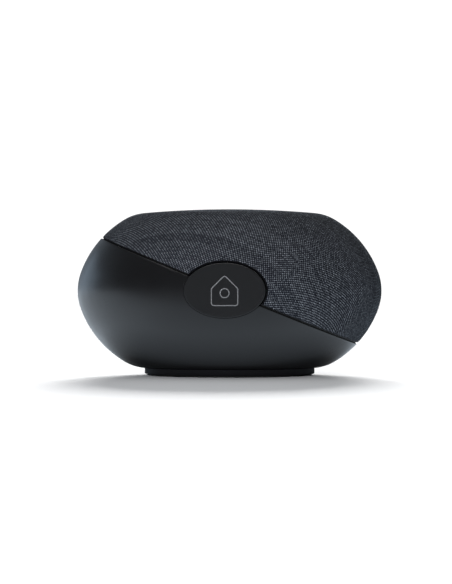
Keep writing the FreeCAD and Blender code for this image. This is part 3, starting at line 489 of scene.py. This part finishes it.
def clip(params, faces, value):
    """Keeps the part of a surface where value(params) is above zero, and cuts the faces that cross it."""
    values = value(params)
    inside = values >= 0
    kept, cuts, added = [], {}, []

    def cut(a, b):
        key = (min(a, b), max(a, b))
        if key not in cuts:
            cuts[key] = len(params) + len(added)
            added.append(key)
        return cuts[key]

    for face in faces:
        flags = [inside[k] for k in face]
        if all(flags):
            kept.append(face)
        elif any(flags):
            outline = []
            for here, there in zip(face, face[1:] + face[:1]):
                if inside[here]:
                    outline.append(here)
                if inside[here] != inside[there]:
                    outline.append(cut(here, there))
            kept.append(tuple(outline))
    if added:
        ends = np.array(added)
        low, high = params[ends[:, 0]], params[ends[:, 1]]
        low_inside = inside[ends[:, 0]]
        keep, drop = np.where(low_inside[:, None], low, high), np.where(low_inside[:, None], high, low)
        for _ in range(14):
            middle = (keep + drop) / 2
            good = (value(middle) >= 0)[:, None]
            keep, drop = np.where(good, middle, keep), np.where(good, drop, middle)
        params = np.concatenate([params, keep])
    used = np.unique([k for face in kept for k in face])
    number = np.full(len(params), -1)
    number[used] = np.arange(len(used))
    return params[used], [tuple(int(number[k]) for k in face) for face in kept]


def open_edges(faces):
    """The edges that only one face uses, in that face's direction."""
    seen = {}
    for face in faces:
        for here, there in zip(face, face[1:] + face[:1]):
            seen[(here, there)] = seen.get((here, there), 0) + 1
    return [edge for edge in seen if (edge[1], edge[0]) not in seen]


def roll_edges(points, normals, faces, radius, depth, steps=4):
    """Rounds every open edge of a surface and carries it inwards to a depth. Gives the new points, the new
    faces, and for each old point on an edge the number of its innermost new point.
    """
    edges = open_edges(faces)
    outward = {}
    for here, there in edges:
        side = np.cross(points[there] - points[here], normals[here] + normals[there])
        side /= max(np.linalg.norm(side), 1e-12)
        for corner in (here, there):
            outward.setdefault(corner, []).append(side)
    corners = sorted(outward)
    place = {corner: number for number, corner in enumerate(corners)}
    base, up = points[corners], normals[corners]
    out = np.array([np.sum(outward[corner], 0) for corner in corners])
    out -= up * np.sum(out * up, 1, keepdims=True)
    out /= np.maximum(np.linalg.norm(out, axis=1, keepdims=True), 1e-12)
    rings = []
    for angle in np.linspace(0, math.pi / 2, steps + 1)[1:]:
        rings.append(base + out * radius * math.sin(angle) - up * radius * (1 - math.cos(angle)))
    rings.append(base + out * radius - up * depth)
    start, size = len(points), len(corners)
    points = np.concatenate([points, *rings])
    added = []
    for here, there in edges:
        a, b = place[here], place[there]
        previous = (here, there)
        for ring in range(len(rings)):
            first = start + ring * size
            added.append((previous[1], previous[0], first + a, first + b))
            previous = (first + a, first + b)
    last = start + (len(rings) - 1) * size
    return points, list(faces) + added, {corner: last + place[corner] for corner in corners}


def grid_faces(rows, columns, wrapped=False):
    """Quads of a grid of points, row by row. wrapped joins the last column to the first."""
    faces = []
    for row in range(rows - 1):
        for column in range(columns if wrapped else columns - 1):
            after = (column + 1) % columns
            faces.append((row * columns + column, row * columns + after,
                          (row + 1) * columns + after, (row + 1) * columns + column))
    return faces


# ---------------------------------------------------------------- the grille cloth


def cloth_map(azimuths=721, steps=420, reach=math.radians(125)):
    """A table that lays a flat sheet over the casing from the seam's pole: for each azimuth round the pole
    and each length along the surface, the angle from the pole.
    """
    turns = np.linspace(0, 2 * math.pi, azimuths)
    angles = np.linspace(0, reach, steps)
    side = np.cos(turns)[:, None] * SEAM_RIGHT + np.sin(turns)[:, None] * BACK
    ways = np.cos(angles)[None, :, None] * SEAM_NORMAL + np.sin(angles)[None, :, None] * side[:, None, :]
    points, _ = on_casing(ways)
    lengths = np.linalg.norm(np.diff(points, axis=1), axis=2)
    lengths = np.concatenate([np.zeros((azimuths, 1)), np.cumsum(lengths, 1)], 1)
    even = np.linspace(0, lengths[:, -1].min(), steps)
    return even, np.array([np.interp(even, row, angles) for row in lengths])


def build_cloth():
    """The grille's cloth: one vertex for each crossing of its threads, with edges rolled into a hem."""
    even, table = cloth_map()

    def ways(sheet):
        """Directions from the casing's centre for points on the flat sheet."""
        length = np.hypot(sheet[:, 0], sheet[:, 1])
        turn = np.mod(np.arctan2(sheet[:, 1], sheet[:, 0]) + FIRST_THREAD, 2 * math.pi)
        at_turn = turn / (2 * math.pi) * (len(table) - 1)
        at_length = np.clip(length / even[-1], 0, 1) * (len(even) - 1)
        low_turn = np.minimum(at_turn.astype(int), len(table) - 2)
        low_length = np.minimum(at_length.astype(int), len(even) - 2)
        share_turn, share_length = at_turn - low_turn, at_length - low_length
        angle = 0
        for step_turn in (0, 1):
            for step_length in (0, 1):
                weight = (share_turn if step_turn else 1 - share_turn) * (
                    share_length if step_length else 1 - share_length)
                angle = angle + weight * table[low_turn + step_turn, low_length + step_length]
        side = np.cos(turn)[:, None] * SEAM_RIGHT + np.sin(turn)[:, None] * BACK
        return np.cos(angle)[:, None] * SEAM_NORMAL + np.sin(angle)[:, None] * side

    def above_seam(sheet):
        points, _ = on_casing(ways(sheet))
        return points @ SEAM_NORMAL - (SEAM_HALF_GAP + CLOTH_EDGE)

    def outside_oval(sheet):
        points, _ = on_casing(ways(sheet))
        return oval_distance(points, CLOTH_KEY_GAP + CLOTH_EDGE)

    half_count = int(even[-1] / THREAD_PITCH)
    line = (np.arange(-half_count, half_count) + 0.5) * THREAD_PITCH
    columns, rows = np.meshgrid(line, line)
    sheet = np.stack([columns.ravel(), rows.ravel()], 1)
    near = above_seam(sheet) > -2 * MM
    near &= np.hypot(sheet[:, 0], sheet[:, 1]) < even[-1]
    faces = [face for face in grid_faces(len(line), len(line)) if near[list(face)].all()]
    sheet, faces = clip(sheet, faces, above_seam)
    sheet, faces = clip(sheet, faces, outside_oval)

    points, normals = on_casing(ways(sheet))
    threads = sheet / THREAD_PITCH
    relief = np.sin(math.pi * threads[:, 0]) * np.sin(math.pi * threads[:, 1])
    from_edge = np.minimum(above_seam(sheet), outside_oval(sheet))
    relief *= np.clip(from_edge / THREAD_PITCH, 0, 1)
    points -= normals * ((1 - relief) / 2 * WEAVE_DEPTH + CLOTH_SINK)[:, None]
    before = len(points)
    points, faces, _ = roll_edges(points, normals, faces, CLOTH_EDGE, CLOTH_TUCK)
    cloth = new_mesh("grille_weave", points + CENTRE, faces)
    # thread numbers across and along, and 1 on the hem, which the material paints near black as shade
    numbers = np.zeros((len(points), 3), np.float32)
    numbers[:before, :2] = threads
    numbers[before:, :2] = threads[edge_sources(points, faces, before)[before:]] + [0, 0.5]
    numbers[before:, 2] = 1
    attribute = cloth.data.attributes.new("thread", "FLOAT_VECTOR", "POINT")
    attribute.data.foreach_set("vector", numbers.ravel())
    cloth.data.materials.append(cloth_material())
    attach(cloth, "root")
    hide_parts("grille_cloth")


def edge_sources(points, faces, before):
    """For each point that an edge's rounding added, the surface point that it came from."""
    source = np.arange(len(points))
    for face in faces:
        if len(face) == 4 and face[2] >= before and face[3] >= before:
            source[face[3]] = source[face[0]]
            source[face[2]] = source[face[1]]
    return source


# ---------------------------------------------------------------- the lower shell


def build_shell(columns=420, rows=110):
    """The moulded shell below the seam, with a wall, rounded edges, the key's opening and the port bay's."""
    bay_low, bay_high = (np.array(corner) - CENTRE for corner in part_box("port_panel"))
    bay_x = (bay_low[0] + BAY_EAR, bay_high[0] - BAY_EAR)
    bay_z = (bay_low[2], bay_high[2])

    top_height = -(SEAM_HALF_GAP + SHELL_EDGE)
    total = OUTLINE_LENGTH[-1]

    def along_outline(length):
        """Radius and height at a length along the whole outline, from the bottom of its axis."""
        quarter = np.abs(total - length)
        side = np.where(length < total, -1.0, 1.0)
        radius, height = (np.interp(quarter, OUTLINE_LENGTH, line) for line in (OUTLINE_R, OUTLINE_Z))
        return radius, side * height

    def height_above_seam(turn, length):
        radius, height = along_outline(length)
        return radius * np.cos(turn) * SEAM_NORMAL[0] + height * SEAM_NORMAL[2]

    turns = np.linspace(0, 2 * math.pi, 2161)
    low, high = np.full(len(turns), total * 0.3), np.full(len(turns), total * 1.7)
    for _ in range(40):
        middle = (low + high) / 2
        under = height_above_seam(turns, middle) < top_height
        low, high = np.where(under, middle, low), np.where(under, high, middle)
    seam_length = low

    def ways(params):
        """Points on the casing for a turn round its axis and a share of the way up to the seam."""
        turn = params[:, 0]
        length = params[:, 1] * np.interp(np.mod(turn, 2 * math.pi), turns, seam_length)
        radius, height = along_outline(length)
        return np.stack([radius * np.cos(turn), radius * np.sin(turn), height], 1)

    def outside_oval(params):
        return oval_distance(ways(params), SHELL_KEY_GAP + SHELL_EDGE)

    def outside_bay(params):
        points = ways(params)
        inset = BAY_CORNER - (BAY_MARGIN + SHELL_EDGE)
        across = np.maximum(bay_x[0] - points[:, 0], points[:, 0] - bay_x[1]) + inset
        upward = np.maximum(bay_z[0] - points[:, 2], points[:, 2] - bay_z[1]) + inset
        outside = np.hypot(np.maximum(across, 0), np.maximum(upward, 0))
        inside = np.minimum(np.maximum(across, upward), 0)
        return np.where(points[:, 1] > 0, outside + inside - BAY_CORNER, 1.0)

    turn_line = np.linspace(0, 2 * math.pi, columns + 1)
    row_line = np.linspace(SHELL_FIRST_ROW, 1.0, rows)
    grid_turn, grid_row = np.meshgrid(turn_line, row_line)
    params = np.stack([grid_turn.ravel(), grid_row.ravel()], 1)
    faces = grid_faces(rows, columns + 1)
    params, faces = clip(params, faces, outside_oval)
    params, faces = clip(params, faces, outside_bay)
    points, normals = on_casing(ways(params))
    points, faces, params, normals = weld_turn(points, faces, params, normals)

    bottom = [k for k in range(len(params)) if params[k, 1] < SHELL_FIRST_ROW + 1e-6]
    faces = close_bottom(faces, bottom, params)
    inner_points = points - normals * SHELL_WALL
    points, rim_faces, innermost = roll_edges(points, normals, faces, SHELL_EDGE, SHELL_WALL)
    shift = len(points)
    points = np.concatenate([points, inner_points])
    all_faces = rim_faces + [tuple(shift + k for k in reversed(face)) for face in faces]
    for here, there in open_edges(faces):
        all_faces.append((innermost[there], innermost[here], shift + here, shift + there))
    shell = new_mesh("lower_shell_moulding", points + CENTRE, all_faces)
    shell.data.materials.append(surface(
        "shell_satin", (0.0060, 0.0060, 0.0065), (0.0072, 0.0072, 0.0077), (0.29, 0.35), 2600.0, 0.006 * MM
    ))
    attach(shell, "root")
    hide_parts("lower_shell")


def weld_turn(points, faces, params, normals):
    """Joins the two ends of a grid that goes once round."""
    order, keep = {}, []
    number = np.zeros(len(points), int)
    for k, (turn, row) in enumerate(params):
        place = (round(turn, 7) if turn < 2 * math.pi - 1e-6 else 0.0, round(row, 7))
        if place not in order:
            order[place] = len(keep)
            keep.append(k)
        number[k] = order[place]
    faces = [tuple(int(number[k]) for k in face) for face in faces]
    return points[keep], faces, params[keep], normals[keep]


def close_bottom(faces, bottom, params):
    """Closes the first row with one flat face, which the plinth hides."""
    ring = sorted(bottom, key=lambda k: params[k, 0], reverse=True)
    return faces + [tuple(ring)]


# ---------------------------------------------------------------- the front key


def build_key(columns=192):
    """The key: a flat oval face with a rounded edge and a skirt, and a raised house outline."""
    half_x, half_z = KEY_HALF
    turn = np.linspace(0, 2 * math.pi, columns, endpoint=False)
    out = np.stack([np.cos(turn) / half_x, np.sin(turn) / half_z], 1)
    out /= np.linalg.norm(out, axis=1, keepdims=True)
    oval = np.stack([np.cos(turn), np.sin(turn)], 1)

    def ring(flat, y):
        return [(x, y, z) for x, z in flat]

    def inset(amount):
        return oval * KEY_HALF - out * amount

    points = [(0.0, KEY_FACE_Y, 0.0)]
    for share in (0.2, 0.4, 0.6, 0.8, 0.9, 0.96):
        points += ring(oval * (half_x - KEY_EDGE, half_z - KEY_EDGE) * share, KEY_FACE_Y)
    for angle in np.linspace(0, math.pi / 2, 7):
        points += ring(inset(KEY_EDGE * (1 - math.sin(angle))), KEY_FACE_Y + KEY_EDGE * (1 - math.cos(angle)))
    points += ring(inset(0), KEY_SKIRT_BACK)
    points += ring(inset(KEY_WALL), KEY_SKIRT_BACK)
    points += ring(inset(KEY_WALL), KEY_FACE_Y + KEY_FRONT)
    count = (len(points) - 1) // columns
    faces = [(0, 1 + (k + 1) % columns, 1 + k) for k in range(columns)]
    faces += [tuple(1 + k for k in face) for face in grid_faces(count, columns, wrapped=True)]
    last = 1 + (count - 1) * columns
    faces.append(tuple(last + k for k in range(columns)))
    key = new_mesh("key_cap", np.array(points) + [0, 0, CENTRE[2]], faces)
    key.data.materials.append(surface(
        "key_satin", (0.0080, 0.0080, 0.0085), (0.0095, 0.0095, 0.0100), (0.42, 0.48), 2600.0, 0.004 * MM
    ))
    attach(key, "front_key")
    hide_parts("front_key")
    for name, outline in (("house", house_outline()), ("window", window_outline())):
        line = raised_line(f"key_{name}_line", outline)
        # painted highlight: the ridges' light grey stands in for the light that their edges catch
        line.data.materials.append(
            surface(f"{name}_line", (0.13, 0.13, 0.135), (0.16, 0.16, 0.165), (0.2, 0.28), 2600.0, 0.002 * MM)
        )
        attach(line, "front_key")


def rounded(corners, radius, steps=6):
    """A closed outline with every corner rounded."""
    points = []
    for k, corner in enumerate(corners):
        before, here, after = (np.array(corners[(k + step) % len(corners)]) for step in (-1, 0, 1))
        to_before = (before - here) / np.linalg.norm(before - here)
        to_after = (after - here) / np.linalg.norm(after - here)
        half = math.acos(float(np.clip(to_before @ to_after, -1, 1))) / 2
        reach = radius / math.tan(half)
        inward = (to_before + to_after) / np.linalg.norm(to_before + to_after)
        middle = here + inward * radius / math.sin(half)
        start, end = here + to_before * reach - middle, here + to_after * reach - middle
        sweep = math.atan2(start[0] * end[1] - start[1] * end[0], start @ end)
        for share in np.linspace(0, 1, steps + 1):
            c, s = math.cos(sweep * share), math.sin(sweep * share)
            points.append(middle + np.array([c * start[0] - s * start[1], s * start[0] + c * start[1]]))
    return points


def house_outline():
    """A plain house, on X and Z about the key's middle."""
    half_width, eaves, floor = 7.0 * MM, 1.0 * MM, -8.0 * MM
    return rounded(
        [(-half_width, floor), (half_width, floor), (half_width, eaves), (0, eaves + half_width),
         (-half_width, eaves)],
        1.3 * MM,
    )


def window_outline():
    """The house's round window."""
    middle, radius = np.array([0, -1.4 * MM]), 2.4 * MM
    return [middle + radius * unit(angle) for angle in np.linspace(0, 2 * math.pi, 40, endpoint=False)]


def raised_line(name, outline, width=0.6 * MM, rise=0.28 * MM, steps=8):
    """A closed low ridge along an outline on the key's face."""
    outline = np.array(outline)
    along = np.roll(outline, -1, 0) - np.roll(outline, 1, 0)
    along /= np.linalg.norm(along, axis=1, keepdims=True)
    side = np.stack([along[:, 1], -along[:, 0]], 1)
    points = []
    for angle in np.linspace(0, math.pi, steps + 1):
        flat = outline + side * math.cos(angle) * width / 2
        y = KEY_FACE_Y + 0.02 * MM - rise * math.sin(angle)
        points += [(x, y, z + CENTRE[2]) for x, z in flat]
    count = len(outline)
    faces = grid_faces(steps + 1, count, wrapped=True)
    faces += [(steps * count + k, steps * count + (k + 1) % count, (k + 1) % count, k) for k in range(count)]
    return new_mesh(name, points, faces)


# ---------------------------------------------------------------- finishes of the CAD nodes


def finish_nodes():
    """A procedural finish for every CAD node that isn't replaced. Screws and other metal parts are steel."""
    black = surface("frame_black", (0.006, 0.006, 0.007), (0.009, 0.009, 0.01), (0.5, 0.6))
    foam = surface("foam_black", (0.003, 0.003, 0.003), (0.006, 0.006, 0.006), (0.9, 1.0), 3000.0, 0.05 * MM)
    rubber = surface(
        "rubber_black", (0.006, 0.006, 0.006), (0.01, 0.01, 0.01), (0.7, 0.85), 1500.0, 0.02 * MM
    )
    plinth = surface(
        "plinth_black", (0.003, 0.003, 0.0035), (0.0045, 0.0045, 0.005), (0.68, 0.78), 2500.0, 0.01 * MM
    )
    socket = surface(
        "socket_black", (0.008, 0.008, 0.008), (0.014, 0.014, 0.014), (0.3, 0.4), 1500.0, 0.006 * MM
    )
    steel = surface(
        "zinc_steel", (0.45, 0.45, 0.46), (0.55, 0.55, 0.57), (0.25, 0.4), 900.0, 0.004 * MM, metallic=1.0
    )
    tin = surface(
        "tin_plate", (0.6, 0.6, 0.58), (0.7, 0.7, 0.68), (0.25, 0.4), 700.0, 0.004 * MM, metallic=1.0
    )
    aluminium = surface(
        "heat_aluminium", (0.7, 0.71, 0.73), (0.8, 0.81, 0.83), (0.25, 0.35), 600.0, 0.006 * MM, metallic=1.0
    )
    copper = surface(
        "enamelled_copper", (0.5, 0.16, 0.05), (0.65, 0.24, 0.08), (0.2, 0.35), 2000.0, 0.02 * MM,
        metallic=1.0, stretch=(1, 1, 12),
    )
    board = surface("solder_mask", (0.01, 0.08, 0.035), (0.015, 0.11, 0.05), (0.3, 0.45), 500.0)
    film = surface("polyimide", (0.3, 0.12, 0.015), (0.4, 0.17, 0.02), (0.2, 0.35), 600.0, 0.004 * MM)
    silicone = surface("silicone", (0.5, 0.52, 0.55), (0.58, 0.6, 0.62), (0.5, 0.6), 900.0)
    nylon = surface("nylon", (0.62, 0.6, 0.52), (0.7, 0.68, 0.6), (0.4, 0.5), 900.0)
    sleeve = surface("cell_sleeve", (0.02, 0.09, 0.28), (0.03, 0.12, 0.33), (0.2, 0.3), 300.0, coat=0.4)
    ferrite = surface("ferrite", (0.03, 0.03, 0.033), (0.05, 0.05, 0.053), (0.5, 0.7), 800.0, 0.03 * MM)
    pulp = surface("cone_pulp", (0.02, 0.02, 0.02), (0.035, 0.035, 0.033), (0.7, 0.9), 1200.0, 0.06 * MM)
    spider = surface("phenolic_cloth", (0.4, 0.22, 0.07), (0.5, 0.3, 0.1), (0.6, 0.8), 1500.0, 0.05 * MM)
    finishes = {
        "grille_frame": black, "key_housing": black, "baffle": black, "battery_holder": black,
        "battery_strap": black, "seam_gasket": foam, "speaker_gasket": foam, "foot_pad": rubber,
        "surround": rubber, "base_plinth": plinth, "port_panel": plinth, "pair_button": socket,
        "pair_switch": socket, "power_jack": socket, "ethernet_jack": socket_material(), "shield_can": tin,
        "radio_module": tin, "main_board": board, "key_switch_board": board, "antennas": board,
        "key_ribbon": film, "key_mat": silicone, "lead_sockets": nylon, "battery_cells": sleeve,
        "magnet": ferrite, "voice_coil": copper, "speaker_cone": pulp, "dust_cap": pulp, "spider": spider,
        "heat_spreader": aluminium,
    }
    for name, node in frame["nodes"].items():
        if node.hide_render:
            continue
        node.data.materials.clear()
        node.data.materials.append(finishes.get(name, steel))


scene.view_settings.view_transform = "Standard"
add_camera()
add_lights()
add_world()
add_floor()
build_cloth()
build_shell()
build_key()
finish_nodes()
